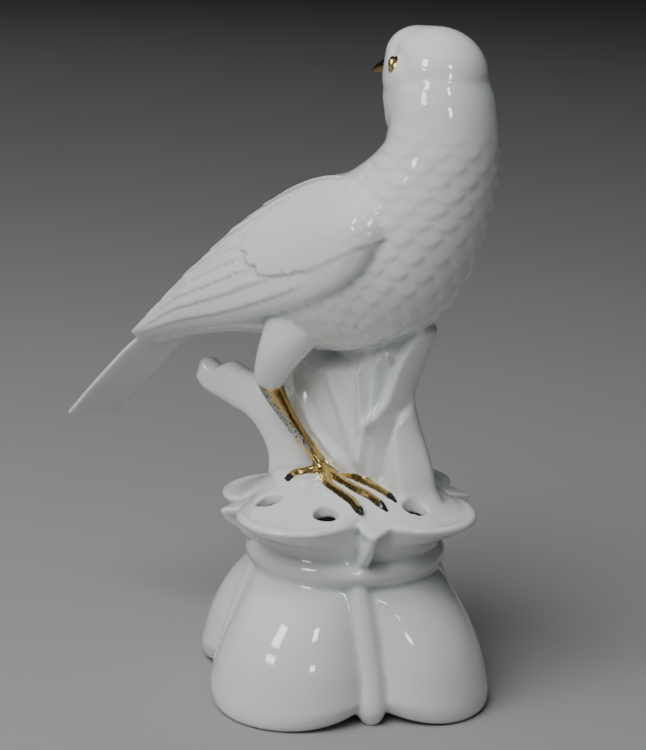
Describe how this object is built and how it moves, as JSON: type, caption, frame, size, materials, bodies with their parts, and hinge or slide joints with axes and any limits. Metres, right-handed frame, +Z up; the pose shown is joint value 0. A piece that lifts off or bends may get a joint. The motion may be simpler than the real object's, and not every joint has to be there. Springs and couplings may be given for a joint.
{
  "type": "porcelain bird figurine",
  "caption": "White glazed porcelain bird looking back over its shoulder, on a ribbed flower-holder base with stem holes.",
  "frame": {"origin": "centre of the base's flat underside, on its axis", "axes": "+Z up, +X the way the bird's breast faces, +Y towards its left side"},
  "size_m": [0.1623, 0.1028, 0.2106],
  "materials": {
    "glazed_porcelain": "high gloss transparent glaze over white porcelain, gilt beak, eye, legs and toes, black claws"
  },
  "bodies": {
    "root": {"porcelain_base": "glazed_porcelain", "porcelain_bird": "glazed_porcelain"}
  },
  "joints": []
}
